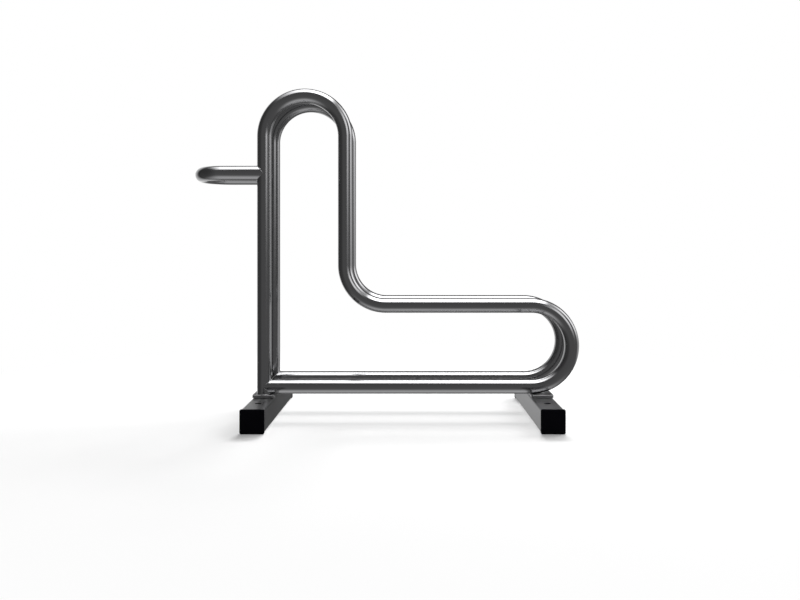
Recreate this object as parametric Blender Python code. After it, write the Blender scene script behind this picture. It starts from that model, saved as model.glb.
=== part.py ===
"""A parking stand for one bicycle: two side frames and a hoop of bent round tube on two square-tube feet.

X runs along the bicycle, Y across it and Z up. The wheel rolls in from +X, between the side frames.
The origin is on the floor, under the middle of the stand. Sizes are in metres.
"""

import math

import bmesh
import bpy
from mathutils import Matrix, Vector

# Overall size
OVERALL_LENGTH = 0.530
OVERALL_HEIGHT = 0.450
OVERALL_WIDTH = 0.250

# Round tube of the side frames and the hoop
TUBE_DIAMETER = 0.020
TUBE_WALL = 0.0015
TUBE_SIDES = 20
BEND_RADIUS = 0.055
BEND_STEP = math.radians(11.25)
FRAME_SPACING = 0.070

# Hoop
HOOP_PROJECTION = 0.092
HOOP_BELOW_TOP_BEND = 0.050

# Square tube of the feet
FOOT_SIZE = 0.030
FOOT_WALL = 0.002
FOOT_CORNER = 0.003
FOOT_INNER_CORNER = 0.0012
FOOT_PAST_END_BEND = 0.014
ANCHOR_HOLE = 0.009
ANCHOR_INSET = 0.0435

# Bridge plates, between the side frames and the feet
PLATE_WIDTH = 0.030
PLATE_THICKNESS = 0.004
PLATE_CORNER = 0.002
PLATE_EDGE = 0.0006
PLATE_HOLE = 0.009

# End caps: a flange that stands proud of the foot, and a hollow sleeve with fins inside it
CAP_LIP = 0.0005
CAP_FLANGE = 0.003
CAP_CORNER = 0.002
CAP_EDGE = 0.0005
CAP_SLEEVE = 0.014
CAP_WALL = 0.0018
CAP_FINS = 3
CAP_FIN_HEIGHT = 0.0006
CAP_FIN_WIDTH = 0.0010
CAP_FIN_PITCH = 0.0035

# Bolts, washers and rivet nuts that hold the plates on the feet
BOLT_DIAMETER = 0.008
BOLT_LENGTH = 0.020
BOLT_TIP = 0.001
HEAD_ACROSS_FLATS = 0.013
HEAD_HEIGHT = 0.0053
HEAD_CHAMFER_ANGLE = math.radians(30)
WASHER_DIAMETER = 0.016
WASHER_THICKNESS = 0.0016
NUT_DIAMETER = 0.011
NUT_LENGTH = 0.015
NUT_RIM = 0.0008
NUT_COLLAR = 0.0012
NUT_COLLAR_HEIGHT = 0.0025

# Gap between two pieces that touch, and between a hole and what passes through it
SEAT_GAP = 0.0003

# Fineness of round and rounded shapes
HOLE_SIDES = 20
FASTENER_SIDES = 16
CORNER_STEPS = 2

# Places that follow from the sizes above
TUBE_RADIUS = TUBE_DIAMETER / 2
LEFT_END = -OVERALL_LENGTH / 2
RIGHT_END = OVERALL_LENGTH / 2
UPRIGHT_X = LEFT_END + HOOP_PROJECTION + TUBE_RADIUS
DOWN_TUBE_X = UPRIGHT_X + 2 * BEND_RADIUS
END_BEND_X = RIGHT_END - TUBE_RADIUS - BEND_RADIUS
FRAME_Y = FRAME_SPACING / 2
FOOT_LEFT_X = UPRIGHT_X
FOOT_RIGHT_X = END_BEND_X + FOOT_PAST_END_BEND
FOOT_TOP = CAP_LIP + FOOT_SIZE
PLATE_BOTTOM = FOOT_TOP + SEAT_GAP
PLATE_TOP = PLATE_BOTTOM + PLATE_THICKNESS
FRAME_BOTTOM = PLATE_TOP + SEAT_GAP
LOWER_RUN_Z = FRAME_BOTTOM + TUBE_RADIUS
UPPER_RUN_Z = LOWER_RUN_Z + 2 * BEND_RADIUS
TOP_BEND_Z = OVERALL_HEIGHT - TUBE_RADIUS - BEND_RADIUS
HOOP_Z = TOP_BEND_Z - HOOP_BELOW_TOP_BEND
BOLT_Y = (FRAME_SPACING - TUBE_DIAMETER) / 4
ANCHOR_Y = OVERALL_WIDTH / 2 - ANCHOR_INSET

# Colours, as linear red, green and blue, with metallic and roughness
TUBE_COAT = ((0.055, 0.055, 0.057), 0.9, 0.28)
FOOT_COAT = ((0.075, 0.075, 0.077), 0.9, 0.42)
CAP_PLASTIC = ((0.004, 0.004, 0.006), 0.0, 0.45)
ZINC = ((0.55, 0.56, 0.58), 1.0, 0.35)


def clear_scene():
    for obj in list(bpy.data.objects):
        bpy.data.objects.remove(obj, do_unlink=True)


def material(name, finish):
    colour, metallic, roughness = finish
    made = bpy.data.materials.new(name)
    made.use_nodes = True
    shader = made.node_tree.nodes["Principled BSDF"]
    shader.inputs["Base Color"].default_value = (*colour, 1)
    shader.inputs["Metallic"].default_value = metallic
    shader.inputs["Roughness"].default_value = roughness
    return made


def mesh_from(bm, name):
    """Turns the bmesh into a named mesh whose faces point outwards."""
    bmesh.ops.recalc_face_normals(bm, faces=bm.faces)
    mesh = bpy.data.meshes.new(name)
    bm.to_mesh(mesh)
    bm.free()
    return mesh


def add(name, mesh, group, location, turned=0.0):
    obj = bpy.data.objects.new(name, mesh)
    bpy.context.collection.objects.link(obj)
    obj.parent = group
    obj.location = location
    obj.rotation_euler.z = turned
    return obj


def group_at(name, x):
    empty = bpy.data.objects.new(name, None)
    bpy.context.collection.objects.link(empty)
    empty.location.x = x
    return empty


def combined(mesh, tool, operation, name):
    """A new mesh: the first one after a Boolean with the tool mesh."""
    body = add("body", mesh, None, (0, 0, 0))
    helper = add("tool", tool, None, (0, 0, 0))
    modifier = body.modifiers.new("shape", "BOOLEAN")
    modifier.operation = operation
    modifier.solver = "EXACT"
    modifier.object = helper
    result = bpy.data.meshes.new_from_object(body.evaluated_get(bpy.context.evaluated_depsgraph_get()))
    result.name = name
    for obj in (body, helper):
        bpy.data.objects.remove(obj, do_unlink=True)
    return result


def finished(mesh, finish):
    mesh.materials.clear()
    mesh.materials.append(material(mesh.name + "_finish", finish))
    mesh.shade_smooth()
    mesh.set_sharp_from_angle(angle=math.radians(40))
    return mesh


def closed_loop(bm, points):
    """New vertices at the points, joined by edges into a closed loop."""
    verts = [bm.verts.new(point) for point in points]
    for here, following in zip(verts, verts[1:] + verts[:1]):
        bm.edges.new((here, following))
    return verts


def band(bm, first, second):
    """The faces between two loops of equally many vertices."""
    faces = []
    for i in range(len(first)):
        j = (i + 1) % len(first)
        faces.append(bm.faces.new((first[i], first[j], second[j], second[i])))
    return faces


def circle(radius, sides, height=0.0):
    turns = (2 * math.pi * i / sides for i in range(sides))
    return [Vector((radius * math.cos(t), radius * math.sin(t), height)) for t in turns]


def rounded_rectangle(half_x, half_y, corner, height):
    """The outline of a rectangle with round corners, flat at a height."""
    points = []
    for quarter in range(4):
        across = half_x if quarter in (0, 3) else -half_x
        along = half_y if quarter in (0, 1) else -half_y
        centre = Vector((across - math.copysign(corner, across), along - math.copysign(corner, along), height))
        for step in range(CORNER_STEPS + 1):
            angle = math.pi / 2 * (quarter + step / CORNER_STEPS)
            points.append(centre + corner * Vector((math.cos(angle), math.sin(angle), 0)))
    return points


def loft(bm, outlines):
    """A closed body through a row of outlines, with a flat face on the first and the last."""
    loops = [closed_loop(bm, outline) for outline in outlines]
    for lower, upper in zip(loops, loops[1:]):
        band(bm, lower, upper)
    bm.faces.new(loops[0])
    bm.faces.new(loops[-1])


def turned_ring(bm, profile, sides):
    """A body of revolution about Z, open along its axis, from a closed profile of radius and height."""
    loops = [closed_loop(bm, circle(radius, sides, height)) for radius, height in profile]
    for here, following in zip(loops, loops[1:] + loops[:1]):
        band(bm, here, following)


def drill(bm, levels, y):
    """Adds an upright round cutter at y, given its radius at each height."""
    spot = Vector((0, y, 0))
    loft(bm, [[point + spot for point in circle(radius, HOLE_SIDES, height)] for radius, height in levels])


def tube_start(bm, place):
    """The open end of a round tube: a flat ring of faces as wide as the wall."""
    outer = closed_loop(bm, [place @ p for p in circle(TUBE_RADIUS, TUBE_SIDES)])
    inner = closed_loop(bm, [place @ p for p in circle(TUBE_RADIUS - TUBE_WALL, TUBE_SIDES)])
    return band(bm, outer, inner)


def with_edges(faces):
    return faces + list({edge for face in faces for edge in face.edges})


def straight(bm, end, travel):
    """Draws the tube on from its end ring and returns the new end ring."""
    made = bmesh.ops.extrude_face_region(bm, geom=with_edges(end))["geom"]
    verts = [item for item in made if isinstance(item, bmesh.types.BMVert)]
    bmesh.ops.translate(bm, verts=verts, vec=travel)
    return [item for item in made if isinstance(item, bmesh.types.BMFace)]


def bend(bm, end, centre, axis, angle):
    """Bends the tube on from its end ring about an axis and returns the new end ring."""
    steps = round(abs(angle) / BEND_STEP)
    made = bmesh.ops.spin(bm, geom=with_edges(end), cent=centre, axis=axis, angle=angle, steps=steps)
    return [item for item in made["geom_last"] if isinstance(item, bmesh.types.BMFace)]


def cope(end, upright_y, side):
    """Hollows a tube's end so that it fits round the upright it meets, on that side of it."""
    reach = TUBE_RADIUS + SEAT_GAP
    for vert in {vert for face in end for vert in face.verts}:
        across = vert.co.y - upright_y
        vert.co.x = UPRIGHT_X + side * math.sqrt(reach * reach - across * across)


def side_frame_mesh():
    """One tube from the foot of the upright, through three bends, back to the upright it is coped onto."""
    bm = bmesh.new()
    around = (0, 1, 0)
    end = tube_start(bm, Matrix.Translation((UPRIGHT_X, 0, FRAME_BOTTOM)))
    end = straight(bm, end, (0, 0, TOP_BEND_Z - FRAME_BOTTOM))
    end = bend(bm, end, (UPRIGHT_X + BEND_RADIUS, 0, TOP_BEND_Z), around, math.pi)
    end = straight(bm, end, (0, 0, UPPER_RUN_Z + BEND_RADIUS - TOP_BEND_Z))
    quarter_x = DOWN_TUBE_X + BEND_RADIUS
    end = bend(bm, end, (quarter_x, 0, UPPER_RUN_Z + BEND_RADIUS), around, -math.pi / 2)
    end = straight(bm, end, (END_BEND_X - quarter_x, 0, 0))
    end = bend(bm, end, (END_BEND_X, 0, LOWER_RUN_Z + BEND_RADIUS), around, math.pi)
    end = straight(bm, end, (UPRIGHT_X - END_BEND_X, 0, 0))
    cope(end, upright_y=0, side=1)
    return finished(mesh_from(bm, "side_frame"), TUBE_COAT)


def hoop_mesh():
    """A U of the same tube round the wheel slot, both of its ends coped onto the uprights."""
    bm = bmesh.new()
    bend_x = LEFT_END + TUBE_RADIUS + FRAME_Y
    end = tube_start(bm, Matrix.Translation((UPRIGHT_X, -FRAME_Y, HOOP_Z)) @ Matrix.Rotation(math.pi / 2, 4, "Y"))
    first = end
    end = straight(bm, end, (bend_x - UPRIGHT_X, 0, 0))
    end = bend(bm, end, (bend_x, 0, HOOP_Z), (0, 0, 1), -math.pi)
    end = straight(bm, end, (UPRIGHT_X - bend_x, 0, 0))
    cope(first, upright_y=-FRAME_Y, side=-1)
    cope(end, upright_y=FRAME_Y, side=-1)
    return finished(mesh_from(bm, "wheel_hoop"), TUBE_COAT)


def foot_holes():
    """Cutters for two anchor holes through the foot and two countersunk rivet nut holes in its top wall."""
    anchor = ANCHOR_HOLE / 2
    barrel = NUT_DIAMETER / 2 + SEAT_GAP
    nut_seat = (
        (barrel, FOOT_TOP - 2 * FOOT_WALL),
        (barrel, FOOT_TOP - NUT_RIM),
        (barrel + NUT_RIM + FOOT_WALL, FOOT_TOP + FOOT_WALL),
    )
    bm = bmesh.new()
    for side in (-1, 1):
        drill(bm, ((anchor, -FOOT_SIZE), (anchor, 2 * FOOT_SIZE)), side * ANCHOR_Y)
        drill(bm, nut_seat, side * BOLT_Y)
    return mesh_from(bm, "holes")


def foot_mesh():
    """A length of square tube with round corners, two anchor holes through it and two rivet nut holes."""
    bm = bmesh.new()
    half = FOOT_SIZE / 2
    length = OVERALL_WIDTH - 2 * (CAP_FLANGE + SEAT_GAP)
    outer = closed_loop(bm, rounded_rectangle(half, half, FOOT_CORNER, 0))
    inner = closed_loop(bm, rounded_rectangle(half - FOOT_WALL, half - FOOT_WALL, FOOT_INNER_CORNER, 0))
    straight(bm, band(bm, outer, inner), (0, 0, length))
    lying = Matrix.Translation((0, length / 2, CAP_LIP + half)) @ Matrix.Rotation(math.pi / 2, 4, "X")
    bmesh.ops.transform(bm, matrix=lying, verts=bm.verts)
    return finished(combined(mesh_from(bm, "tube"), foot_holes(), "DIFFERENCE", "foot"), FOOT_COAT)


def plate_mesh():
    """A flat plate with broken edges that ends flush with the outer sides of both frames."""
    half_x = PLATE_WIDTH / 2
    half_y = (FRAME_SPACING + TUBE_DIAMETER) / 2
    inset = PLATE_EDGE
    bm = bmesh.new()
    levels = (
        (inset, PLATE_BOTTOM),
        (0, PLATE_BOTTOM + inset),
        (0, PLATE_TOP - inset),
        (inset, PLATE_TOP),
    )
    loft(bm, [rounded_rectangle(half_x - less, half_y - less, PLATE_CORNER, height) for less, height in levels])
    holes = bmesh.new()
    for side in (-1, 1):
        drill(holes, ((PLATE_HOLE / 2, 0), (PLATE_HOLE / 2, 2 * PLATE_TOP)), side * BOLT_Y)
    plate = combined(mesh_from(bm, "blank"), mesh_from(holes, "holes"), "DIFFERENCE", "bridge_plate")
    return finished(plate, FOOT_COAT)


def cap_outlines():
    """Half width, corner and depth of the cap's outlines, over its face, down its sleeve and back up inside."""
    flange = FOOT_SIZE / 2 + CAP_LIP
    fin = FOOT_SIZE / 2 - FOOT_WALL - SEAT_GAP
    core = fin - CAP_FIN_HEIGHT
    hollow = core - CAP_WALL
    yield flange - CAP_EDGE, CAP_CORNER, 0
    yield flange, CAP_CORNER, CAP_EDGE
    yield flange, CAP_CORNER, CAP_FLANGE
    yield core, FOOT_INNER_CORNER, CAP_FLANGE
    for i in range(CAP_FINS):
        start = CAP_FLANGE + (i + 0.5) * CAP_FIN_PITCH
        yield core, FOOT_INNER_CORNER, start
        yield fin, FOOT_INNER_CORNER, start
        yield core, FOOT_INNER_CORNER, start + CAP_FIN_WIDTH
    yield core, FOOT_INNER_CORNER, CAP_FLANGE + CAP_SLEEVE
    yield hollow, FOOT_INNER_CORNER, CAP_FLANGE + CAP_SLEEVE
    yield hollow, FOOT_INNER_CORNER, CAP_FLANGE


def cap_mesh():
    """A moulded plug: a flat flange with a softened edge, and a hollow sleeve with fins that grip the tube."""
    bm = bmesh.new()
    loft(bm, [rounded_rectangle(half, half, corner, -depth) for half, corner, depth in cap_outlines()])
    bmesh.ops.transform(bm, matrix=Matrix.Rotation(math.pi / 2, 4, "X"), verts=bm.verts)
    return finished(mesh_from(bm, "end_cap"), CAP_PLASTIC)


def hexagon_head(bottom, top):
    """A hexagonal prism whose upper corners a turned chamfer takes off."""
    corner = HEAD_ACROSS_FLATS / math.sqrt(3)
    chamfer = (corner - HEAD_ACROSS_FLATS / 2) * math.tan(HEAD_CHAMFER_ANGLE)
    prism = bmesh.new()
    loft(prism, [circle(corner, 6, height) for height in (bottom, top)])
    blank = bmesh.new()
    levels = (
        (2 * corner, bottom - HEAD_HEIGHT),
        (2 * corner, top - chamfer * (2 * corner - HEAD_ACROSS_FLATS / 2) / (corner - HEAD_ACROSS_FLATS / 2)),
        (HEAD_ACROSS_FLATS / 2, top),
    )
    loft(blank, [circle(radius, 2 * FASTENER_SIDES, height) for radius, height in levels])
    return combined(mesh_from(prism, "prism"), mesh_from(blank, "blank"), "INTERSECT", "head")


def bolt_mesh():
    """A hexagon bolt that stands at the origin with its head's underside above the washer."""
    seat = PLATE_TOP + WASHER_THICKNESS + 2 * SEAT_GAP
    radius = BOLT_DIAMETER / 2
    shank = bmesh.new()
    levels = (
        (radius - BOLT_TIP, seat - BOLT_LENGTH),
        (radius, seat - BOLT_LENGTH + BOLT_TIP),
        (radius, seat + HEAD_HEIGHT / 2),
    )
    loft(shank, [circle(width, FASTENER_SIDES, height) for width, height in levels])
    head = hexagon_head(seat, seat + HEAD_HEIGHT)
    return finished(combined(head, mesh_from(shank, "shank"), "UNION", "plate_bolt"), ZINC)


def washer_mesh():
    bottom = PLATE_TOP + SEAT_GAP
    top = bottom + WASHER_THICKNESS
    hole = BOLT_DIAMETER / 2 + SEAT_GAP
    rim = WASHER_DIAMETER / 2
    bm = bmesh.new()
    turned_ring(bm, [(hole, bottom), (rim, bottom), (rim, top), (hole, top)], HOLE_SIDES)
    return finished(mesh_from(bm, "plate_washer"), ZINC)


def rivet_nut_mesh():
    """A rivet nut as it is once set: a flush rim, a barrel, and a collar swelled out under the wall."""
    hole = BOLT_DIAMETER / 2 + SEAT_GAP
    barrel = NUT_DIAMETER / 2
    collar = -FOOT_WALL - SEAT_GAP
    profile = [
        (hole, 0),
        (barrel + NUT_RIM, 0),
        (barrel, -NUT_RIM),
        (barrel, collar),
        (barrel + NUT_COLLAR, collar),
        (barrel + NUT_COLLAR, collar - NUT_COLLAR_HEIGHT / 2),
        (barrel, collar - NUT_COLLAR_HEIGHT),
        (barrel, -NUT_LENGTH),
        (hole, -NUT_LENGTH),
    ]
    bm = bmesh.new()
    turned_ring(bm, [(radius, FOOT_TOP + height) for radius, height in profile], FASTENER_SIDES)
    return finished(mesh_from(bm, "rivet_nut"), ZINC)


def build_frames():
    stand = group_at("stand", 0)
    frame = side_frame_mesh()
    add("side_frame_front", frame, stand, (0, -FRAME_Y, 0))
    add("side_frame_rear", frame, stand, (0, FRAME_Y, 0))
    add("wheel_hoop", hoop_mesh(), stand, (0, 0, 0))


def build_feet():
    meshes = {
        "foot": foot_mesh(),
        "plate": plate_mesh(),
        "cap": cap_mesh(),
        "bolt": bolt_mesh(),
        "washer": washer_mesh(),
        "nut": rivet_nut_mesh(),
    }
    for side, x in (("left", FOOT_LEFT_X), ("right", FOOT_RIGHT_X)):
        group = group_at("base_" + side, x)
        add("foot_" + side, meshes["foot"], group, (0, 0, 0))
        add("bridge_plate_" + side, meshes["plate"], group, (0, 0, 0))
        for end, sign in (("front", -1), ("rear", 1)):
            place = side + "_" + end
            cap_place = (0, sign * OVERALL_WIDTH / 2, FOOT_SIZE / 2 + CAP_LIP)
            add("end_cap_" + place, meshes["cap"], group, cap_place, 0 if sign < 0 else math.pi)
            bolt_place = (0, sign * BOLT_Y, 0)
            add("plate_bolt_" + place, meshes["bolt"], group, bolt_place)
            add("plate_washer_" + place, meshes["washer"], group, bolt_place)
            add("rivet_nut_" + place, meshes["nut"], group, bolt_place)


def main():
    clear_scene()
    build_frames()
    build_feet()


main()
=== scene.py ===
"""Dresses the bike parking stand: bent tubes, painted welds, feet, plates, caps and bolts in a white studio.

X runs along the bicycle, Y across it and Z up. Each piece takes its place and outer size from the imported
model. What the model's boxes don't tell, such as bend radii and walls, is a setting.
"""

import math

import bmesh
import bpy
from mathutils import Matrix, Vector

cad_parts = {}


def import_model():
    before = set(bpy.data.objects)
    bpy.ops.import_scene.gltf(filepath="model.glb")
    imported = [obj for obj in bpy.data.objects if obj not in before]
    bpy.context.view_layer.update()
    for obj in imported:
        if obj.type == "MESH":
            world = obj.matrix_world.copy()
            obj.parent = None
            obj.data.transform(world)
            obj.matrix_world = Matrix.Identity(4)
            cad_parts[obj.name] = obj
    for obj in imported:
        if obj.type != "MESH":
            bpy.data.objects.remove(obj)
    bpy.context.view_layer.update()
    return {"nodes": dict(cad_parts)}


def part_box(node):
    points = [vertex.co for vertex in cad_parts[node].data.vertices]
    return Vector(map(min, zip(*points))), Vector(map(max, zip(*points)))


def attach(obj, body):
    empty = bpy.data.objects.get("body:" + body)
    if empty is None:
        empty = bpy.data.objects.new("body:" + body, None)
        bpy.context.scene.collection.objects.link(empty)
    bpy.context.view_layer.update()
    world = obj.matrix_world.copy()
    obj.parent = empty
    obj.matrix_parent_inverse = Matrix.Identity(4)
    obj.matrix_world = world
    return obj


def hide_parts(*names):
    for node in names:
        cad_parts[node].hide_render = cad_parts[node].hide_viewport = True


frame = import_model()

bl_info = {
    "name": "Bike Parking Stand",
    "version": (1, 0, 0),
    "blender": (4, 5, 0),
    "location": "View3D > Sidebar > Parking Stand",
    "description": "Builds the visible pieces, the finishes and the studio of a bike parking stand",
    "category": "Add Mesh",
}

ENDS = ("front", "rear")
SIDES = ("left", "right")

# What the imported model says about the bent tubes
FRAME_LOW, FRAME_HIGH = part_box("side_frame_front")
HOOP_LOW, HOOP_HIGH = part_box("wheel_hoop")
TUBE_RADIUS = (FRAME_HIGH.y - FRAME_LOW.y) / 2
FRAME_Y = -(FRAME_HIGH.y + FRAME_LOW.y) / 2
UPRIGHT_X = FRAME_LOW.x + TUBE_RADIUS
LOWER_RUN_Z = FRAME_LOW.z + TUBE_RADIUS
HOOP_Z = (HOOP_LOW.z + HOOP_HIGH.z) / 2

# Clearance between pieces that touch, and how far a cutter reaches past what it cuts
SEAT_GAP = 0.0003
OVERCUT = 0.001

# Vertices round an anchor hole or a washer, and round a bolt's shank or what it goes through
HOLE_SIDES = 48
SHANK_SIDES = 40

# Faces that meet at more than this angle keep a sharp edge
SHARP_ANGLE = math.radians(38)

# How far the camera's picture is moved to frame the stand as in the photograph, in picture widths
CAMERA_SHIFT = (-0.0098, -0.0622)


# Sizes and colours that a user would change

class TubeSettings(bpy.types.PropertyGroup):
    """Bent tubes of the two side frames and the hoop"""

    bend_radius: bpy.props.FloatProperty(
        name="Bend radius", description="Radius of every bend in the frames, to the tube's middle",
        default=0.055, min=0.02, max=0.2, precision=4, unit="LENGTH")
    bend_step: bpy.props.FloatProperty(
        name="Bend step", description="Angle between two rings of vertices in a bend",
        default=math.radians(3), min=math.radians(1), max=math.radians(15), subtype="ANGLE")
    sides: bpy.props.IntProperty(
        name="Sides", description="Vertices round the tube",
        default=56, min=12, max=128)
    weld: bpy.props.FloatProperty(
        name="Weld", description="Half thickness of the painted weld beads",
        default=0.0006, min=0.0003, max=0.003, precision=4, unit="LENGTH")
    ripple: bpy.props.FloatProperty(
        name="Weld ripple", description="Distance from one ripple of a weld bead to the next",
        default=0.0017, min=0.0008, max=0.005, precision=4, unit="LENGTH")
    colour: bpy.props.FloatVectorProperty(
        name="Tube colour", description="Colour of the tubes' metallic coat",
        default=(0.235, 0.235, 0.240), size=3, min=0, max=1, subtype="COLOR")
    roughness: bpy.props.FloatProperty(
        name="Tube roughness", description="How much the coat of the tubes blurs what it mirrors",
        default=0.14, min=0, max=1, subtype="FACTOR")


class FootSettings(bpy.types.PropertyGroup):
    """Square feet, their plates and their end caps"""

    wall: bpy.props.FloatProperty(
        name="Wall", description="Wall of the square tube",
        default=0.002, min=0.001, max=0.005, precision=4, unit="LENGTH")
    corner: bpy.props.FloatProperty(
        name="Corner", description="Outer corner radius of the square tube",
        default=0.003, min=0.0005, max=0.006, precision=4, unit="LENGTH")
    anchor_hole: bpy.props.FloatProperty(
        name="Anchor hole", description="Diameter of the holes for floor anchors",
        default=0.009, min=0.004, max=0.014, precision=4, unit="LENGTH")
    anchor_inset: bpy.props.FloatProperty(
        name="Anchor inset", description="Distance from a cap's face to the middle of the anchor hole",
        default=0.0435, min=0.02, max=0.08, precision=4, unit="LENGTH")
    plate_edge: bpy.props.FloatProperty(
        name="Plate edge", description="Radius of the rounded edges of the bridge plates",
        default=0.0006, min=0.0002, max=0.0018, precision=4, unit="LENGTH")
    cap_flange: bpy.props.FloatProperty(
        name="Cap flange", description="Thickness of the end cap's flange",
        default=0.003, min=0.001, max=0.006, precision=4, unit="LENGTH")
    cap_edge: bpy.props.FloatProperty(
        name="Cap edge", description="Radius of the softened edge round the cap's face",
        default=0.0007, min=0.0001, max=0.0015, precision=4, unit="LENGTH")
    colour: bpy.props.FloatVectorProperty(
        name="Foot colour", description="Colour of the coat of the feet and plates",
        default=(0.235, 0.235, 0.240), size=3, min=0, max=1, subtype="COLOR")
    roughness: bpy.props.FloatProperty(
        name="Foot roughness", description="How much the coat of the feet blurs what it mirrors",
        default=0.37, min=0, max=1, subtype="FACTOR")
    plate_roughness: bpy.props.FloatProperty(
        name="Plate roughness", description="How much the coat of the plates blurs what it mirrors",
        default=0.34, min=0, max=1, subtype="FACTOR")
    cap_colour: bpy.props.FloatVectorProperty(
        name="Cap colour", description="Colour of the plastic end caps",
        default=(0.0016, 0.0016, 0.0028), size=3, min=0, max=1, subtype="COLOR")


class FastenerSettings(bpy.types.PropertyGroup):
    """Bolts and washers that hold the plates on the feet"""

    across_flats: bpy.props.FloatProperty(
        name="Across flats", description="Width of the bolt's hexagon head",
        default=0.013, min=0.008, max=0.02, precision=4, unit="LENGTH")
    head_height: bpy.props.FloatProperty(
        name="Head height", description="Height of the bolt's head",
        default=0.0053, min=0.002, max=0.01, precision=4, unit="LENGTH")
    shank: bpy.props.FloatProperty(
        name="Shank", description="Diameter of the bolt's shank",
        default=0.008, min=0.004, max=0.012, precision=4, unit="LENGTH")
    colour: bpy.props.FloatVectorProperty(
        name="Zinc colour", description="Colour of the zinc plating",
        default=(0.55, 0.56, 0.58), size=3, min=0, max=1, subtype="COLOR")


class StudioSettings(bpy.types.PropertyGroup):
    """Camera, floor and light"""

    lens: bpy.props.FloatProperty(
        name="Lens", description="Focal length of the camera, on a sensor 36 mm wide",
        default=36.09, min=10, max=200, unit="CAMERA")
    distance: bpy.props.FloatProperty(
        name="Distance", description="Distance from the camera to the plane in the middle of the stand",
        default=1.1267, min=0.5, max=5, precision=4, unit="LENGTH")
    height: bpy.props.FloatProperty(
        name="Height", description="Height of the camera over the floor",
        default=0.2302, min=0.05, max=2, precision=4, unit="LENGTH")
    sideways: bpy.props.FloatProperty(
        name="Sideways", description="How far the camera stands to the right of the stand's middle",
        default=0.0321, min=-1, max=1, precision=4, unit="LENGTH")
    sheet: bpy.props.FloatProperty(
        name="White sheet", description="Radius of the round white sheet that the stand is on",
        default=0.85, min=0.5, max=3, unit="LENGTH")
    shadow: bpy.props.FloatProperty(
        name="Shadow", description="How much of the stand's shadow the white sheet shows",
        default=0.85, min=0, max=1, subtype="FACTOR")
    key: bpy.props.FloatProperty(
        name="Key light", description="Power of the lamps above and behind the stand together",
        default=272.0, min=0, max=2000, unit="POWER")
    fill: bpy.props.FloatProperty(
        name="Even light", description="Strength of the even light that the room gives matt surfaces",
        default=0.325, min=0, max=5)


class ParkingStandSettings(bpy.types.PropertyGroup):
    """All settings of the parking stand"""

    tubes: bpy.props.PointerProperty(type=TubeSettings, name="Tubes", description="Bent tubes")
    feet: bpy.props.PointerProperty(type=FootSettings, name="Feet", description="Feet, plates and caps")
    fasteners: bpy.props.PointerProperty(
        type=FastenerSettings, name="Fasteners", description="Bolts and washers")
    studio: bpy.props.PointerProperty(
        type=StudioSettings, name="Studio", description="Camera, floor and light")


# Shaders

class Signal:
    """The output of a shader node. Arithmetic on it adds Math nodes to its tree."""

    def __init__(self, shader, socket):
        self.shader = shader
        self.socket = socket

    def math(self, operation, first, second=0.0):
        return self.shader.node("ShaderNodeMath", {"operation": operation}, {0: first, 1: second})

    def __add__(self, other):
        return self.math("ADD", self, other)

    def __radd__(self, other):
        return self.math("ADD", other, self)

    def __sub__(self, other):
        return self.math("SUBTRACT", self, other)

    def __rsub__(self, other):
        return self.math("SUBTRACT", other, self)

    def __mul__(self, other):
        return self.math("MULTIPLY", self, other)

    def __rmul__(self, other):
        return self.math("MULTIPLY", other, self)

    def __abs__(self):
        return self.math("ABSOLUTE", self)

    def between(self, low, high, blur):
        """1 between two limits, 0 beyond them, with smooth steps as wide as the blur."""
        return self.below(high, blur) * (1 - self.below(low, blur))

    def below(self, limit, blur):
        """1 well under the limit, 0 well over it, with a smooth step as wide as the blur."""
        step = {"From Min": limit - blur / 2, "From Max": limit + blur / 2, "To Min": 1, "To Max": 0}
        settings = {"interpolation_type": "SMOOTHSTEP"}
        return self.shader.node("ShaderNodeMapRange", settings, {"Value": self, **step})


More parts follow.
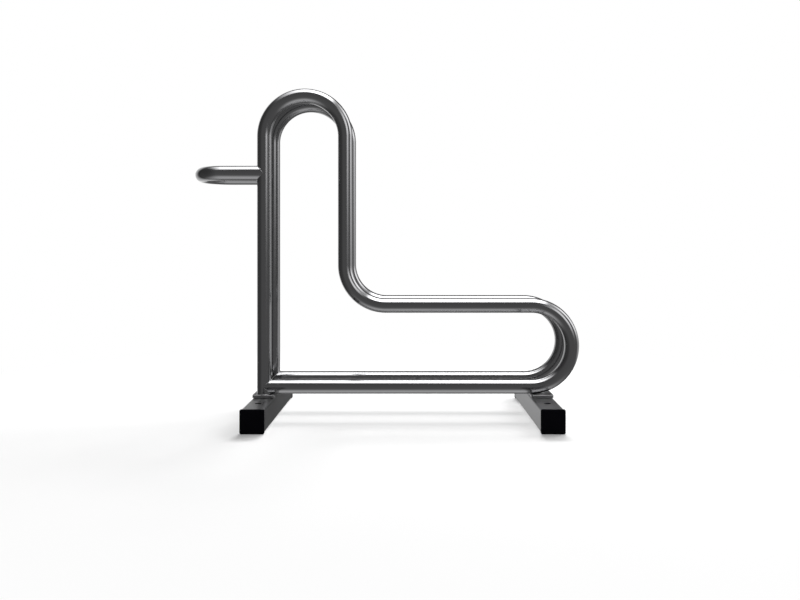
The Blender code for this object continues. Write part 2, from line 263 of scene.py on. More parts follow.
class Shader:
    """Adds nodes to the tree of a material or a world."""

    def __init__(self, tree):
        self.tree = tree
        self.tree.nodes.clear()

    def node(self, kind, settings=None, sockets=None, output=0):
        """Adds a node, sets its settings first and then its sockets, and returns one of its outputs."""
        added = self.tree.nodes.new(kind)
        for name, value in (settings or {}).items():
            setattr(added, name, value)
        for name, value in (sockets or {}).items():
            if isinstance(value, Signal):
                self.tree.links.new(value.socket, added.inputs[name])
            else:
                added.inputs[name].default_value = value
        return Signal(self, added.outputs[output]) if added.outputs else None

    def place(self):
        return self.node("ShaderNodeTexCoord", output="Object")

    def noise(self, scale, detail=2.0, roughness=0.5):
        sockets = {"Vector": self.place(), "Scale": scale, "Detail": detail, "Roughness": roughness}
        return self.node("ShaderNodeTexNoise", {"noise_dimensions": "3D"}, sockets)

    def cells(self, scale):
        """A random level in each of many small cells."""
        sockets = {"Vector": self.place(), "Scale": scale}
        return self.node("ShaderNodeTexVoronoi", {"feature": "F1"}, sockets, output="Color")

    def blend(self, amount, first, second):
        """A colour between two others."""
        return self.node("ShaderNodeMix", {"data_type": "RGBA"}, {0: amount, 6: first, 7: second}, output=2)

    def bump(self, height, strength, distance, below=None):
        sockets = {"Height": height, "Strength": strength, "Distance": distance}
        if below is not None:
            sockets["Normal"] = below
        return self.node("ShaderNodeBump", None, sockets)

    def dot(self, vector, axis):
        sockets = {0: vector, 1: axis}
        return self.node("ShaderNodeVectorMath", {"operation": "DOT_PRODUCT"}, sockets, output="Value")

    def body(self, surface):
        """Ends a material with one Principled shader."""
        shaded = self.node("ShaderNodeBsdfPrincipled", None, surface)
        self.node("ShaderNodeOutputMaterial", None, {"Surface": shaded})

    def background(self, strength):
        """White light of some strength from the world."""
        return self.node("ShaderNodeBackground", None, {"Color": (1, 1, 1, 1), "Strength": strength})

    def either(self, amount, first, second):
        """One shader, or the other by an amount."""
        return self.node("ShaderNodeMixShader", None, {0: amount, 1: first, 2: second})

    def ray(self, kind):
        """1 for light that arrives in one way, such as a glossy ray, and 0 for the rest."""
        return self.node("ShaderNodeLightPath", output=kind)


def scaled(colour, factor):
    """A colour times a factor, with full alpha."""
    return (*(channel * factor for channel in colour), 1)


def new_material(name):
    material = bpy.data.materials.new(name)
    material.use_nodes = True
    return material, Shader(material.node_tree)


def metallic_coat(name, colour, roughness, peel, mottle):
    """A dark metallic coat: fine flakes, orange peel and a slow change of tone and gloss."""
    material, shader = new_material(name)
    drift = shader.noise(9.0, detail=3)
    flakes = shader.cells(3600.0)
    tone = shader.blend(drift, scaled(colour, 1 - mottle), scaled(colour, 1 + mottle))
    flaked = shader.blend(0.02, tone, shader.blend(flakes, scaled(colour, 0.4), scaled(colour, 2.2)))
    waves = shader.noise(620.0, detail=2)
    grain = shader.noise(2400.0, detail=1)
    smooth = shader.bump(waves, peel, 0.0002)
    surface = {
        "Base Color": flaked,
        "Metallic": 1.0,
        "Roughness": roughness + (drift - 0.5) * 0.10 + (grain - 0.5) * 0.05,
        "Normal": shader.bump(grain, peel * 0.35, 0.0001, below=smooth),
    }
    shader.body(surface)
    return material


def moulded_plastic(name, colour):
    """Black plastic with the fine spark texture of its mould."""
    material, shader = new_material(name)
    spark = shader.noise(1800.0, detail=2, roughness=0.6)
    drift = shader.noise(26.0, detail=2)
    surface = {
        "Base Color": shader.blend(drift, scaled(colour, 0.7), scaled(colour, 1.4)),
        "Roughness": 0.46 + (spark - 0.5) * 0.16,
        "Specular IOR Level": 0.03,
        "Normal": shader.bump(spark, 0.25, 0.0001),
    }
    shader.body(surface)
    return material


def zinc_plating(name, colour):
    """Bright zinc with a faint cloudy tint and fine marks."""
    material, shader = new_material(name)
    clouds = shader.noise(160.0, detail=4)
    marks = shader.noise(1500.0, detail=3, roughness=0.7)
    warm = (colour[0], colour[1] * 0.96, colour[2] * 0.86)
    surface = {
        "Base Color": shader.blend(clouds, scaled(colour, 1.05), scaled(warm, 0.9)),
        "Metallic": 1.0,
        "Roughness": 0.30 + (marks - 0.5) * 0.20,
        "Normal": shader.bump(marks, 0.2, 0.0001),
    }
    shader.body(surface)
    return material


FINISHES = {}


def finish(kind, settings):
    """The material of one of the record's slots, or of the plates, or of the painted shade in the bores, made
    once and shared.
    """
    if kind not in FINISHES:
        tubes, feet, fasteners = settings.tubes, settings.feet, settings.fasteners
        # The bores' coat is a darker copy of the foot's coat: painted shade inside the anchor holes
        dark = scaled(feet.colour, 0.25)[:3]
        makers = {
            "tube_coat": lambda: metallic_coat("tube_coat_fine", tubes.colour, tubes.roughness, 0.01, 0.05),
            "foot_coat": lambda: metallic_coat("foot_coat_fine", feet.colour, feet.roughness, 0.16, 0.10),
            "plate": lambda: metallic_coat("plate_coat_fine", feet.colour, feet.plate_roughness, 0.03, 0.06),
            "bore_shade": lambda: metallic_coat("bore_painted_shade_coat", dark, 0.5, 0.16, 0.10),
            "cap_plastic": lambda: moulded_plastic("cap_plastic_fine", feet.cap_colour),
            "zinc": lambda: zinc_plating("zinc_fine", fasteners.colour),
        }
        FINISHES[kind] = makers[kind]()
    return FINISHES[kind]


# Meshes

def mesh_of(bm, name):
    """Turns a bmesh into a mesh whose faces point outwards."""
    bmesh.ops.recalc_face_normals(bm, faces=bm.faces)
    mesh = bpy.data.meshes.new(name)
    bm.to_mesh(mesh)
    bm.free()
    return mesh


def shown_piece(mesh, name, slot, settings, *nodes):
    """Shows a mesh as a piece that rides on the stand and stands for the named CAD nodes."""
    mesh.materials.clear()
    mesh.materials.append(finish(slot, settings))
    mesh.shade_smooth()
    mesh.set_sharp_from_angle(angle=SHARP_ANGLE)
    piece = bpy.data.objects.new(name, mesh)
    bpy.context.scene.collection.objects.link(piece)
    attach(piece, "root")
    if nodes:
        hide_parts(*nodes)
    return piece


def loop_of(bm, points):
    """New vertices at the points."""
    return [bm.verts.new(point) for point in points]


def band(bm, first, second):
    """The faces between two loops of equally many vertices."""
    for i in range(len(first)):
        j = (i + 1) % len(first)
        bm.faces.new((first[i], first[j], second[j], second[i]))


def loft(bm, outlines):
    """A closed body through a row of outlines, with a face on the first and the last."""
    loops = [loop_of(bm, outline) for outline in outlines]
    for lower, upper in zip(loops, loops[1:]):
        band(bm, lower, upper)
    bm.faces.new(loops[0])
    bm.faces.new(loops[-1])


def ring_body(bm, profile, sides, spot):
    """A ring about an upright line, from a closed profile of radius and height."""
    loops = [loop_of(bm, circle(radius, height, sides, spot)) for radius, height in profile]
    for here, following in zip(loops, loops[1:] + loops[:1]):
        band(bm, here, following)


def circle(radius, height, sides, spot):
    """Points on a level circle round a spot."""
    turns = (2 * math.pi * i / sides for i in range(sides))
    return [Vector((spot[0] + radius * math.cos(t), spot[1] + radius * math.sin(t), height)) for t in turns]


def middle_spot(low, high):
    """The middle of a box, seen from above."""
    return (low.x + high.x) / 2, (low.y + high.y) / 2


def rounded_rectangle(half_x, half_y, corner, height, steps=7):
    """The outline of a rectangle with round corners, flat at a height."""
    points = []
    for quarter in range(4):
        across = half_x if quarter in (0, 3) else -half_x
        along = half_y if quarter in (0, 1) else -half_y
        centre_x = across - math.copysign(corner, across)
        centre_y = along - math.copysign(corner, along)
        centre = Vector((centre_x, centre_y, height))
        for step in range(steps + 1):
            angle = math.pi / 2 * (quarter + step / steps)
            points.append(centre + corner * Vector((math.cos(angle), math.sin(angle), 0)))
    return points


def rounding(radius, steps=5):
    """Inset and rise of the points of a rounded edge, from its side to its flat."""
    for step in range(steps + 1):
        angle = math.pi / 2 * step / steps
        yield radius * (1 - math.cos(angle)), radius * math.sin(angle)


def combined(mesh, tool, operation, name):
    """A new mesh: the first one after a Boolean with the tool mesh."""
    body = bpy.data.objects.new("body", mesh)
    helper = bpy.data.objects.new("helper", tool)
    for obj in (body, helper):
        bpy.context.scene.collection.objects.link(obj)
    modifier = body.modifiers.new("shape", "BOOLEAN")
    modifier.operation = operation
    modifier.solver = "EXACT"
    modifier.object = helper
    result = bpy.data.meshes.new_from_object(body.evaluated_get(bpy.context.evaluated_depsgraph_get()))
    result.name = name
    for obj in (body, helper):
        bpy.data.objects.remove(obj, do_unlink=True)
    remove_slivers(result)
    return result


def remove_slivers(mesh, size=0.000004):
    """Closes up the tiny faces that a Boolean leaves where an edge of one body runs along the other."""
    bm = bmesh.new()
    bm.from_mesh(mesh)
    bmesh.ops.remove_doubles(bm, verts=bm.verts, dist=size)
    bmesh.ops.dissolve_degenerate(bm, dist=size, edges=bm.edges)
    bmesh.ops.recalc_face_normals(bm, faces=bm.faces)
    bm.to_mesh(mesh)
    bm.free()


# Bent tubes

class Centreline:
    """The middle of a bent tube, drawn straight by straight and bend by bend.

    Its stations are matrices whose X axis points along the tube. Every bend turns about their Y axis.
    """

    def __init__(self, start, heading, bend_axis):
        columns = (heading, bend_axis, heading.cross(bend_axis))
        self.place = Matrix.Translation(start) @ Matrix(columns).transposed().to_4x4()
        self.stations = [self.place]

    def straight(self, length):
        self.place = self.place @ Matrix.Translation((length, 0, 0))
        self.stations.append(self.place)

    def bend(self, radius, angle, step):
        steps = max(1, round(abs(angle) / step))
        centre = Matrix.Translation((0, 0, -math.copysign(radius, angle)))
        turn = centre @ Matrix.Rotation(angle / steps, 4, "Y") @ centre.inverted()
        for _ in range(steps):
            self.place = self.place @ turn
            self.stations.append(self.place)


def tube_skin(bm, stations, radius, sides):
    """The closed skin of a round tube along its stations. Returns its first and last ring of vertices."""
    rings = [loop_of(bm, [station @ point for point in cross_ring(radius, sides)]) for station in stations]
    for here, following in zip(rings, rings[1:]):
        band(bm, here, following)
    bm.faces.new(rings[0])
    bm.faces.new(rings[-1])
    return rings[0], rings[-1]


def cross_ring(radius, sides):
    """Points on a circle across the X axis."""
    turns = (2 * math.pi * i / sides for i in range(sides))
    return [Vector((0, radius * math.cos(t), radius * math.sin(t))) for t in turns]


def cope(ring, upright_y, side):
    """Cuts a tube's end to the round of the upright that it meets, just deep enough to close the joint."""
    for vert in ring:
        across = min(abs(vert.co.y - upright_y), TUBE_RADIUS)
        vert.co.x = UPRIGHT_X + side * (math.sqrt(TUBE_RADIUS ** 2 - across ** 2) - SEAT_GAP)


def frame_line(tubes, y):
    """The centreline of one side frame, from the foot of its upright round to the upright again."""
    radius = tubes.bend_radius
    top_bend_z = FRAME_HIGH.z - TUBE_RADIUS - radius
    end_bend_x = FRAME_HIGH.x - TUBE_RADIUS - radius
    quarter_x = UPRIGHT_X + 3 * radius
    line = Centreline(Vector((UPRIGHT_X, y, FRAME_LOW.z - SEAT_GAP)), Vector((0, 0, 1)), Vector((0, 1, 0)))
    line.straight(top_bend_z - FRAME_LOW.z + SEAT_GAP)
    line.bend(radius, math.pi, tubes.bend_step)
    line.straight(top_bend_z - LOWER_RUN_Z - 3 * radius)
    line.bend(radius, -math.pi / 2, tubes.bend_step)
    line.straight(end_bend_x - quarter_x)
    line.bend(radius, math.pi, tubes.bend_step)
    line.straight(end_bend_x - UPRIGHT_X)
    return line


def hoop_line(tubes):
    """The centreline of the hoop, from the front upright round the wheel slot to the rear upright."""
    length = UPRIGHT_X - (HOOP_LOW.x + TUBE_RADIUS + FRAME_Y)
    line = Centreline(Vector((UPRIGHT_X, -FRAME_Y, HOOP_Z)), Vector((-1, 0, 0)), Vector((0, 0, 1)))
    line.straight(length)
    line.bend(FRAME_Y, -math.pi, tubes.bend_step)
    line.straight(length)
    return line


def bead(bm, points, size, ripple, closed, sides=10):
    """A weld bead along a row of points: a thin rippled round, as thick at each point as size says."""
    middle = sum(points, Vector()) / len(points)
    travelled = 0.0
    rings = []
    count = len(points)
    for i, point in enumerate(points):
        before = points[i - 1] if closed or i else point
        after = points[(i + 1) % count] if closed or i + 1 < count else point
        travelled += (point - before).length
        tangent = (after - before).normalized()
        outward = (point - middle) - tangent * (point - middle).dot(tangent)
        outward = outward.normalized() if outward.length > 1e-6 else tangent.orthogonal()
        radius = size[i] * (1 + 0.05 * math.sin(2 * math.pi * travelled / ripple))
        axes = Matrix((tangent, outward, tangent.cross(outward))).transposed().to_4x4()
        place = Matrix.Translation(point) @ axes
        rings.append(loop_of(bm, [place @ spot for spot in cross_ring(radius, sides)]))
    for here, following in zip(rings, rings[1:]):
        band(bm, here, following)
    if closed:
        band(bm, rings[-1], rings[0])
    else:
        bm.faces.new(rings[0])
        bm.faces.new(rings[-1])


def saddle_bead(bm, tubes, y, z, side, count=200):
    """The weld where a level tube meets the upright, thin where one surface runs into the other."""
    proud = 0.0006
    points, size = [], []
    for i in range(count):
        turn = 2 * math.pi * i / count
        depth = math.hypot(TUBE_RADIUS * math.cos(turn), proud)
        across = y + TUBE_RADIUS * math.sin(turn)
        points.append(Vector((UPRIGHT_X + side * depth, across, z + TUBE_RADIUS * math.cos(turn))))
        size.append(tubes.weld * (0.30 + 0.70 * abs(math.cos(turn))))
    bead(bm, points, size, tubes.ripple, closed=True)


def foot_bead(bm, tubes, y, plate_top, count=200):
    """The weld round the foot of the upright, on the plate."""
    points = circle(TUBE_RADIUS, plate_top, count, (UPRIGHT_X, y))
    bead(bm, points, [tubes.weld * 0.7] * count, tubes.ripple, closed=True)


def run_beads(bm, tubes, y, plate_top, start, end):
    """The two short welds under the lower run, one on each side of the line where it lies on a plate."""
    reach = 0.0036
    level = plate_top + tubes.weld * 0.25
    count = max(6, round((end - start) / tubes.ripple * 6))
    for side in (-1, 1):
        points, size = [], []
        for i in range(count + 1):
            share = i / count
            points.append(Vector((start + (end - start) * share, y + side * reach, level)))
            size.append(tubes.weld * max(0.25, math.sin(math.pi * share) ** 0.35))
        bead(bm, points, size, tubes.ripple, closed=False)


# Operators, one for each group of like pieces

class StandOperator:
    """What every operator of the stand shares."""

    bl_options = {"REGISTER", "UNDO"}

    @staticmethod
    def settings(context):
        return context.scene.parking_stand


class STAND_OT_side_frames(StandOperator, bpy.types.Operator):
    """Bend one tube for each side frame"""

    bl_idname = "stand.side_frames"
    bl_label = "Side Frames"

    def execute(self, context):
        settings = self.settings(context)
        for end, sign in zip(ENDS, (-1, 1)):
            y = sign * FRAME_Y
            bm = bmesh.new()
            _, last = tube_skin(bm, frame_line(settings.tubes, y).stations, TUBE_RADIUS, settings.tubes.sides)
            cope(last, y, 1)
            name = "frame_tube_" + end
            shown_piece(mesh_of(bm, name), name, "tube_coat", settings, "side_frame_" + end)
        return {"FINISHED"}


class STAND_OT_wheel_hoop(StandOperator, bpy.types.Operator):
    """Bend the hoop and fit both ends to the uprights"""

    bl_idname = "stand.wheel_hoop"
    bl_label = "Wheel Hoop"

    def execute(self, context):
        settings = self.settings(context)
        bm = bmesh.new()
        first, last = tube_skin(bm, hoop_line(settings.tubes).stations, TUBE_RADIUS, settings.tubes.sides)
        cope(first, -FRAME_Y, -1)
        cope(last, FRAME_Y, -1)
        shown_piece(mesh_of(bm, "hoop_tube"), "hoop_tube", "tube_coat", settings, "wheel_hoop")
        return {"FINISHED"}


class STAND_OT_welds(StandOperator, bpy.types.Operator):
    """Lay the painted weld beads at the joints of the tubes and on the plates"""

    bl_idname = "stand.welds"
    bl_label = "Weld Beads"

    def execute(self, context):
        settings = self.settings(context)
        tubes = settings.tubes
        _, left_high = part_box("bridge_plate_left")
        right_low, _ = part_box("bridge_plate_right")
        short_of_bend = 0.002
        run_end_x = FRAME_HIGH.x - TUBE_RADIUS - tubes.bend_radius - short_of_bend
        for end, sign in zip(ENDS, (-1, 1)):
            y = sign * FRAME_Y
            bm = bmesh.new()
            saddle_bead(bm, tubes, y, LOWER_RUN_Z, 1)
            saddle_bead(bm, tubes, y, HOOP_Z, -1)
            foot_bead(bm, tubes, y, left_high.z)
            run_beads(bm, tubes, y, left_high.z, UPRIGHT_X + TUBE_RADIUS, left_high.x - tubes.weld)
            run_beads(bm, tubes, y, left_high.z, right_low.x + tubes.weld, run_end_x)
            shown_piece(mesh_of(bm, "welds_" + end), "welds_" + end, "foot_coat", settings)
        return {"FINISHED"}


class STAND_OT_feet(StandOperator, bpy.types.Operator):
    """Cut the two square feet and drill their anchor holes"""

    bl_idname = "stand.feet"
    bl_label = "Feet"

    def execute(self, context):
        settings = self.settings(context)
        feet = settings.feet
        for side in SIDES:
            name = "foot_tube_" + side
            low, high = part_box("foot_" + side)
            middle = (low + high) / 2
            bm = bmesh.new()
            self.square_tube(bm, feet, high - low)
            lying = Matrix.Translation((middle.x, high.y, middle.z)) @ Matrix.Rotation(math.pi / 2, 4, "X")
            bmesh.ops.transform(bm, matrix=lying, verts=bm.verts)
            holes = bmesh.new()
            for end, sign in zip(ENDS, (-1, 1)):
                cap_low, cap_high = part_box(f"end_cap_{side}_{end}")
                face_y = cap_low.y if sign < 0 else cap_high.y
                self.anchor_hole(holes, feet, (middle.x, face_y - sign * feet.anchor_inset), low.z, high.z)
                nut_low, nut_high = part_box(f"rivet_nut_{side}_{end}")
                rim = (nut_high.x - nut_low.x) / 2 + SEAT_GAP
                self.nut_hole(holes, (middle.x, (nut_low.y + nut_high.y) / 2), rim, high.z)
            drilled = combined(mesh_of(bm, "tube"), mesh_of(holes, "holes"), "DIFFERENCE", name)
            shown_piece(drilled, name, "foot_coat", settings, "foot_" + side)
            # The walls of the anchor holes get a darker coat, painted shade for their dark inside
            self.paint_bore_shade(drilled, middle.x, feet.anchor_hole / 2, settings)
        return {"FINISHED"}

    @staticmethod
    def square_tube(bm, feet, size):
        """A square tube with round corners, open at both ends, from the height 0 upwards."""
        half = size.x / 2
        inner = half - feet.wall
        inner_corner = max(0.0005, feet.corner - feet.wall)
        outer_loops = [loop_of(bm, rounded_rectangle(half, half, feet.corner, z)) for z in (0, size.y)]
        inner_loops = [loop_of(bm, rounded_rectangle(inner, inner, inner_corner, z)) for z in (0, size.y)]
        band(bm, *outer_loops)
        band(bm, *inner_loops)
        band(bm, outer_loops[0], inner_loops[0])
        band(bm, outer_loops[1], inner_loops[1])

    @staticmethod
    def anchor_hole(bm, feet, spot, bottom, top):
        """A cutter down through both walls, with a slightly broken edge on the top and the bottom."""
        radius = feet.anchor_hole / 2
        broken = 0.00015
        levels = (
            (radius + broken + OVERCUT, bottom - OVERCUT),
            (radius, bottom + broken),
            (radius, top - broken),
            (radius + broken + OVERCUT, top + OVERCUT),
        )
        loft(bm, [circle(width, height, HOLE_SIDES, spot) for width, height in levels])

    @staticmethod
    def nut_hole(bm, spot, rim, top):
        """A cutter for the rivet nut's flush rim and barrel, through the top wall alone."""
        depth, sink = 0.004, 0.0008
        levels = ((rim - sink, top - depth), (rim - sink, top - sink), (rim + OVERCUT, top + OVERCUT))
        loft(bm, [circle(width, height, SHANK_SIDES, spot) for width, height in levels])

    @staticmethod
    def paint_bore_shade(mesh, middle_x, radius, settings):
        """Gives the walls of the drilled holes a darker coat, which is painted shade for the dark inside of
        the holes.
        """
        mesh.materials.append(finish("bore_shade", settings))
        for face in mesh.polygons:
            steep = abs(face.normal.z) < 0.8
            tube_end = abs(face.normal.y) > 0.999
            if steep and not tube_end and abs(face.center.x - middle_x) < radius + SEAT_GAP:
                face.material_index = 1


class STAND_OT_bridge_plates(StandOperator, bpy.types.Operator):
    """Make the two plates between the frames and the feet"""

    bl_idname = "stand.bridge_plates"
    bl_label = "Bridge Plates"

    def execute(self, context):
        settings = self.settings(context)
        edge = settings.feet.plate_edge
        corner, bolt_hole = 0.0026, 0.009
        for side in SIDES:
            name = "plate_" + side
            low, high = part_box("bridge_plate_" + side)
            half = (high - low) / 2
            middle = (low + high) / 2
            rises = [(inset, low.z + edge - rise) for inset, rise in rounding(edge)][::-1]
            rises += [(inset, high.z - edge + rise) for inset, rise in rounding(edge)]
            bm = bmesh.new()
            loft(bm, [
                rounded_rectangle(half.x - inset, half.y - inset, corner - inset, z) for inset, z in rises])
            bmesh.ops.translate(bm, verts=bm.verts, vec=(middle.x, middle.y, 0))
            holes = bmesh.new()
            for end in ENDS:
                bolt_low, bolt_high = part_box(f"plate_bolt_{side}_{end}")
                spot = (middle.x, (bolt_low.y + bolt_high.y) / 2)
                ends = (low.z - 2 * OVERCUT, high.z + 2 * OVERCUT)
                loft(holes, [circle(bolt_hole / 2, z, SHANK_SIDES, spot) for z in ends])
            plate = combined(mesh_of(bm, "blank"), mesh_of(holes, "holes"), "DIFFERENCE", name)
            shown_piece(plate, name, "foot_coat", settings, "bridge_plate_" + side)
            plate.materials[0] = finish("plate", settings)
        return {"FINISHED"}


class STAND_OT_end_caps(StandOperator, bpy.types.Operator):
    """Mould the four end caps: a flange with a softened edge on a hollow finned sleeve"""

    bl_idname = "stand.end_caps"
    bl_label = "End Caps"

    def execute(self, context):
        settings = self.settings(context)
        feet = settings.feet
        for side in SIDES:
            for end in ENDS:
                name = f"cap_{side}_{end}"
                low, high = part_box("end_" + name)
                outlines = self.outlines(feet, (high.x - low.x) / 2, high.y - low.y)
                bm = bmesh.new()
                loft(bm, [rounded_rectangle(half, half, corner, -depth) for half, corner, depth in outlines])
                front = end == "front"
                facing = Matrix.Rotation(0 if front else math.pi, 4, "Z")
                spot = ((low.x + high.x) / 2, low.y if front else high.y, (low.z + high.z) / 2)
                place = Matrix.Translation(spot) @ (facing @ Matrix.Rotation(math.pi / 2, 4, "X"))
                bmesh.ops.transform(bm, matrix=place, verts=bm.verts)
                shown_piece(mesh_of(bm, name), name, "cap_plastic", settings, "end_" + name)
        return {"FINISHED"}

    @staticmethod
    def outlines(feet, half, depth):
        """Half width, corner and depth of the cap's outlines: its face, flange, finned sleeve and hollow."""
        flange_corner, sleeve_corner, hollow_corner = 0.0021, 0.0012, 0.0008
        lip, wall = 0.0005, 0.0018
        fins, fin_height, fin_width, fin_pitch = 3, 0.0006, 0.0010, 0.0035
        for inset, rise in reversed(list(rounding(feet.cap_edge))):
            yield half - inset, flange_corner - inset * 0.5, feet.cap_edge - rise
        yield half, flange_corner, feet.cap_flange
        fin = half - lip - feet.wall - SEAT_GAP
        core = fin - fin_height
        yield core, sleeve_corner, feet.cap_flange
        for i in range(fins):
            start = feet.cap_flange + (i + 0.5) * fin_pitch
            yield core, sleeve_corner, start
            yield fin, sleeve_corner, start + fin_width / 10
            yield core, sleeve_corner, start + fin_width
        yield core, sleeve_corner, depth
        yield core - wall, hollow_corner, depth
        yield core - wall, hollow_corner, feet.cap_flange


class STAND_OT_plate_fasteners(StandOperator, bpy.types.Operator):
    """Make the bolts and washers, and give the rivet nuts their plating"""

    bl_idname = "stand.plate_fasteners"
    bl_label = "Plate Fasteners"

    def execute(self, context):
        settings = self.settings(context)
        for side in SIDES:
            for end in ENDS:
                self.bolt(settings, f"bolt_{side}_{end}")
                self.washer(settings, f"washer_{side}_{end}")
                for plated in frame["nodes"][f"rivet_nut_{side}_{end}"].material_slots:
                    plated.material = finish("zinc", settings)
        return {"FINISHED"}

    def bolt(self, settings, name):
        """A hexagon head with a turned chamfer, on a shank with a chamfered tip."""
        fasteners = settings.fasteners
        low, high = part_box("plate_" + name)
        spot = middle_spot(low, high)
        corner = fasteners.across_flats / math.sqrt(3)
        seat = high.z - fasteners.head_height
        shank, tip = fasteners.shank / 2, 0.001
        prism = bmesh.new()
        loft(prism, [circle(corner, z, 6, spot) for z in (seat, high.z)])
        # A turned body takes off the prism's corners up to the round face on top
        face = fasteners.across_flats / 2 * 0.95
        beyond = corner * 1.2
        fall = (beyond - face) * math.tan(math.radians(30))
        levels = ((face, seat - 0.0002), (beyond, seat + 0.0008), (beyond, high.z - fall), (face, high.z))
        turned = bmesh.new()
        loft(turned, [circle(radius, z, 72, spot) for radius, z in levels])
        head = combined(mesh_of(prism, "prism"), mesh_of(turned, "turned"), "INTERSECT", "head")
        levels = ((shank - tip, low.z), (shank, low.z + tip), (shank, seat + fasteners.head_height / 2))
        stem = bmesh.new()
        loft(stem, [circle(radius, z, SHANK_SIDES, spot) for radius, z in levels])
        whole = combined(head, mesh_of(stem, "stem"), "UNION", name)
        shown_piece(whole, name, "zinc", settings, "plate_" + name)

    def washer(self, settings, name):
        """A flat washer with broken edges."""
        low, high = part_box("plate_" + name)
        rim = (high.x - low.x) / 2
        hole = settings.fasteners.shank / 2 + SEAT_GAP
        broken = 0.0002
        profile = [
            (hole, low.z),
            (rim - broken, low.z),
            (rim, low.z + broken),
            (rim, high.z - broken),
            (rim - broken, high.z),
            (hole, high.z),
        ]
        bm = bmesh.new()
        ring_body(bm, profile, HOLE_SIDES, middle_spot(low, high))
        shown_piece(mesh_of(bm, name), name, "zinc", settings, "plate_" + name)


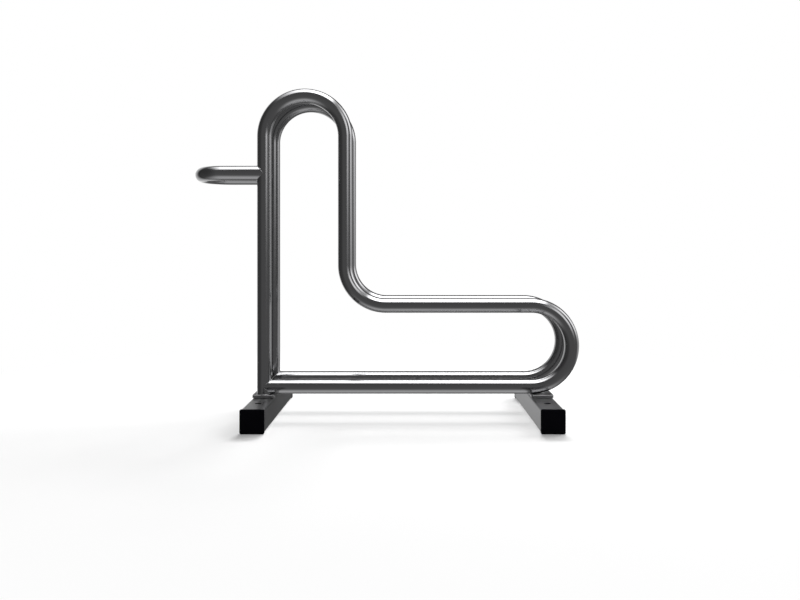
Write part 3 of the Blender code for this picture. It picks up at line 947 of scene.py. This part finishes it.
class STAND_OT_studio(StandOperator, bpy.types.Operator):
    """Set up the camera, the white sheet, the light and the room that the metal mirrors"""

    bl_idname = "stand.studio"
    bl_label = "Studio"

    def execute(self, context):
        studio = self.settings(context).studio
        self.camera(context, studio)
        self.sheet(context, studio)
        self.key_lights(context, studio)
        self.room(context, studio)
        context.scene.view_settings.view_transform = "Standard"
        return {"FINISHED"}

    @staticmethod
    def camera(context, studio):
        """A camera that looks level along Y, framed as the photograph is."""
        data = bpy.data.cameras.new("camera")
        data.lens = studio.lens
        data.sensor_width = 36
        data.shift_x, data.shift_y = CAMERA_SHIFT
        camera = bpy.data.objects.new("camera", data)
        context.scene.collection.objects.link(camera)
        camera.location = (studio.sideways, -studio.distance, studio.height)
        camera.rotation_euler = (math.pi / 2, 0, 0)
        context.scene.camera = camera

    @staticmethod
    def sheet(context, studio):
        """A round white sheet that takes the stand's shadow and fades into the white round it."""
        bm = bmesh.new()
        bmesh.ops.create_circle(bm, cap_ends=True, segments=96, radius=studio.sheet)
        mesh = mesh_of(bm, "white_sheet")
        sheet = bpy.data.objects.new("white_sheet", mesh)
        context.scene.collection.objects.link(sheet)
        sheet.visible_glossy = False
        material, shader = new_material("white_sheet")
        mesh.materials.append(material)
        length = {"operation": "LENGTH"}
        away = shader.node("ShaderNodeVectorMath", length, {0: shader.place()}, output="Value")
        near = away.below(studio.sheet * 0.68, studio.sheet * 0.6)
        lit = shader.node("ShaderNodeBsdfDiffuse", None, {"Color": (0.93, 0.93, 0.93, 1)})
        white = shader.node("ShaderNodeEmission", None, {"Color": (1, 1, 1, 1), "Strength": 1.0})
        share = shader.ray("Is Camera Ray") * (1 - near * studio.shadow)
        shader.node("ShaderNodeOutputMaterial", None, {"Surface": shader.either(share, lit, white)})

    @staticmethod
    def key_lights(context, studio):
        """Lamps above and behind the stand.

        A small one gives firm streaks and a broad one from the right soft shadow. Only the end caps shade
        the third, for the dark floor in front of them.
        """
        caps = bpy.data.collections.new("shading_caps")
        for name in (f"cap_{side}_{end}" for side in SIDES for end in ENDS):
            caps.objects.link(bpy.data.objects[name])
        for name, width, height, share, spot in (
            ("small_key", 0.8, 0.8, 0.10, (0.30, 2.30, 3.30)),
            ("broad_key", 2.8, 2.4, 0.34, (2.60, 2.00, 2.80)),
            ("cap_key", 1.8, 1.0, 0.56, (0.50, 3.40, 3.00)),
        ):
            data = bpy.data.lights.new(name, "AREA")
            data.shape = "RECTANGLE"
            data.size = width
            data.size_y = height
            data.energy = studio.key * share
            lamp = bpy.data.objects.new(name, data)
            context.scene.collection.objects.link(lamp)
            lamp.location = spot
            lamp.rotation_euler = (-lamp.location).to_track_quat("-Z", "Y").to_euler()
            lamp.visible_glossy = False
            if name == "cap_key":
                lamp.light_linking.blocker_collection = caps

    def room(self, context, studio):
        """White for the camera, even light for matt surfaces and a dim room of soft boxes for the metal."""
        world = bpy.data.worlds.new("studio_room")
        context.scene.world = world
        world.use_nodes = True
        shader = Shader(world.node_tree)
        even = shader.background(studio.fill)
        boxes = shader.background(self.mirrored(shader))
        white = shader.background(1.0)
        lit = shader.either(shader.ray("Is Glossy Ray"), even, boxes)
        seen = shader.ray("Is Camera Ray")
        seen = seen.math("MAXIMUM", seen, shader.ray("Is Transmission Ray"))
        shader.node("ShaderNodeOutputWorld", None, {"Surface": shader.either(seen, lit, white)})

    @staticmethod
    def mirrored(shader):
        """How bright the room is in each direction, as the metal mirrors it.

        A direction is told by its turn, the angle to the right of straight up, and by how far back it points.
        """
        direction = shader.node("ShaderNodeTexCoord", output="Generated")
        rightward = shader.dot(direction, (1, 0, 0))
        back = shader.dot(direction, (0, 1, 0))
        upward = shader.dot(direction, (0, 0, 1))
        turn = rightward.math("ARCTAN2", rightward, upward)

        # Soft boxes, by turn and depth
        right_of_up = 1 - before(turn, -17, 52)
        ceiling = before(turn, 27, 14) * right_of_up * back.between(-0.52, 0.40, 0.14)
        link = within(turn, 26, 55, 20) * back.between(-0.62, 0.42, 0.2)
        front_box = within(turn, 43, 80, 28) * back.between(-0.86, -0.56, 0.12)
        side_box = within(turn, 43, 80, 28) * back.between(-0.12, 0.40, 0.18)
        floor_glow = (1 - within(turn, -146, 146, 46)) * back.between(-0.60, 0.28, 0.60)
        boxes = ceiling * 8.0 + front_box * 2.4 + side_box * 3.2 + link * 0.8

        # Strips at the sides and far behind, by side, depth and height
        side_strip = (1 - rightward.below(0.55, 0.2)) * back.between(0.0, 0.85, 0.22)
        side_strip *= abs(upward).below(0.30, 0.25)
        far_left = rightward.between(-0.96, -0.26, 0.12) * back.between(0.52, 1.3, 0.34)
        far_left *= upward.between(-0.75, 0.60, 0.25)
        left_back = rightward.between(-0.35, -0.05, 0.10) * back.between(0.90, 1.2, 0.06)
        left_back *= upward.between(-0.2, 0.32, 0.2)
        strips = side_strip * 0.66 + far_left * 0.80 + left_back * 0.3

        # The dim rest of the room, with darker places at the left and far behind
        left = rightward.below(-0.7, 0.5)
        dark_left = rightward.below(-0.70, 0.16) * back.between(0.25, 0.80, 0.20)
        right_back = rightward.between(0.05, 0.48, 0.10) * back.between(0.85, 1.2, 0.06)
        right_back *= upward.between(-0.5, 0.1, 0.2)
        dim = 0.23 - 0.05 * upward - 0.11 * left - 0.05 * dark_left - 0.16 * right_back
        return dim + boxes + strips + floor_glow * 0.92


def before(turn, last, blur):
    """1 before a turn given in degrees, fading over the blur."""
    return turn.below(math.radians(last), math.radians(blur))


def within(turn, first, last, blur):
    """1 between two turns given in degrees, fading over the blur."""
    return turn.between(math.radians(first), math.radians(last), math.radians(blur))


class STAND_PT_panel(bpy.types.Panel):
    """Sizes, colours and steps of the parking stand"""

    bl_idname = "STAND_PT_panel"
    bl_label = "Parking Stand"
    bl_space_type = "VIEW_3D"
    bl_region_type = "UI"
    bl_category = "Parking Stand"

    def draw(self, context):
        settings = context.scene.parking_stand
        for group in (settings.tubes, settings.feet, settings.fasteners, settings.studio):
            box = self.layout.box()
            for name in group.__annotations__:
                box.prop(group, name)
        column = self.layout.column(align=True)
        for operator in OPERATORS:
            column.operator(operator.bl_idname)


OPERATORS = (
    STAND_OT_side_frames,
    STAND_OT_wheel_hoop,
    STAND_OT_welds,
    STAND_OT_feet,
    STAND_OT_bridge_plates,
    STAND_OT_end_caps,
    STAND_OT_plate_fasteners,
    STAND_OT_studio,
)

CLASSES = (
    TubeSettings,
    FootSettings,
    FastenerSettings,
    StudioSettings,
    ParkingStandSettings,
    *OPERATORS,
    STAND_PT_panel,
)


def register():
    for cls in CLASSES:
        bpy.utils.register_class(cls)
    bpy.types.Scene.parking_stand = bpy.props.PointerProperty(type=ParkingStandSettings)


def unregister():
    del bpy.types.Scene.parking_stand
    for cls in reversed(CLASSES):
        bpy.utils.unregister_class(cls)


def main():
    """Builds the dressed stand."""
    register()
    bpy.ops.stand.side_frames()
    bpy.ops.stand.wheel_hoop()
    bpy.ops.stand.welds()
    bpy.ops.stand.feet()
    bpy.ops.stand.bridge_plates()
    bpy.ops.stand.end_caps()
    bpy.ops.stand.plate_fasteners()
    bpy.ops.stand.studio()


if __name__ == "__main__":
    main()
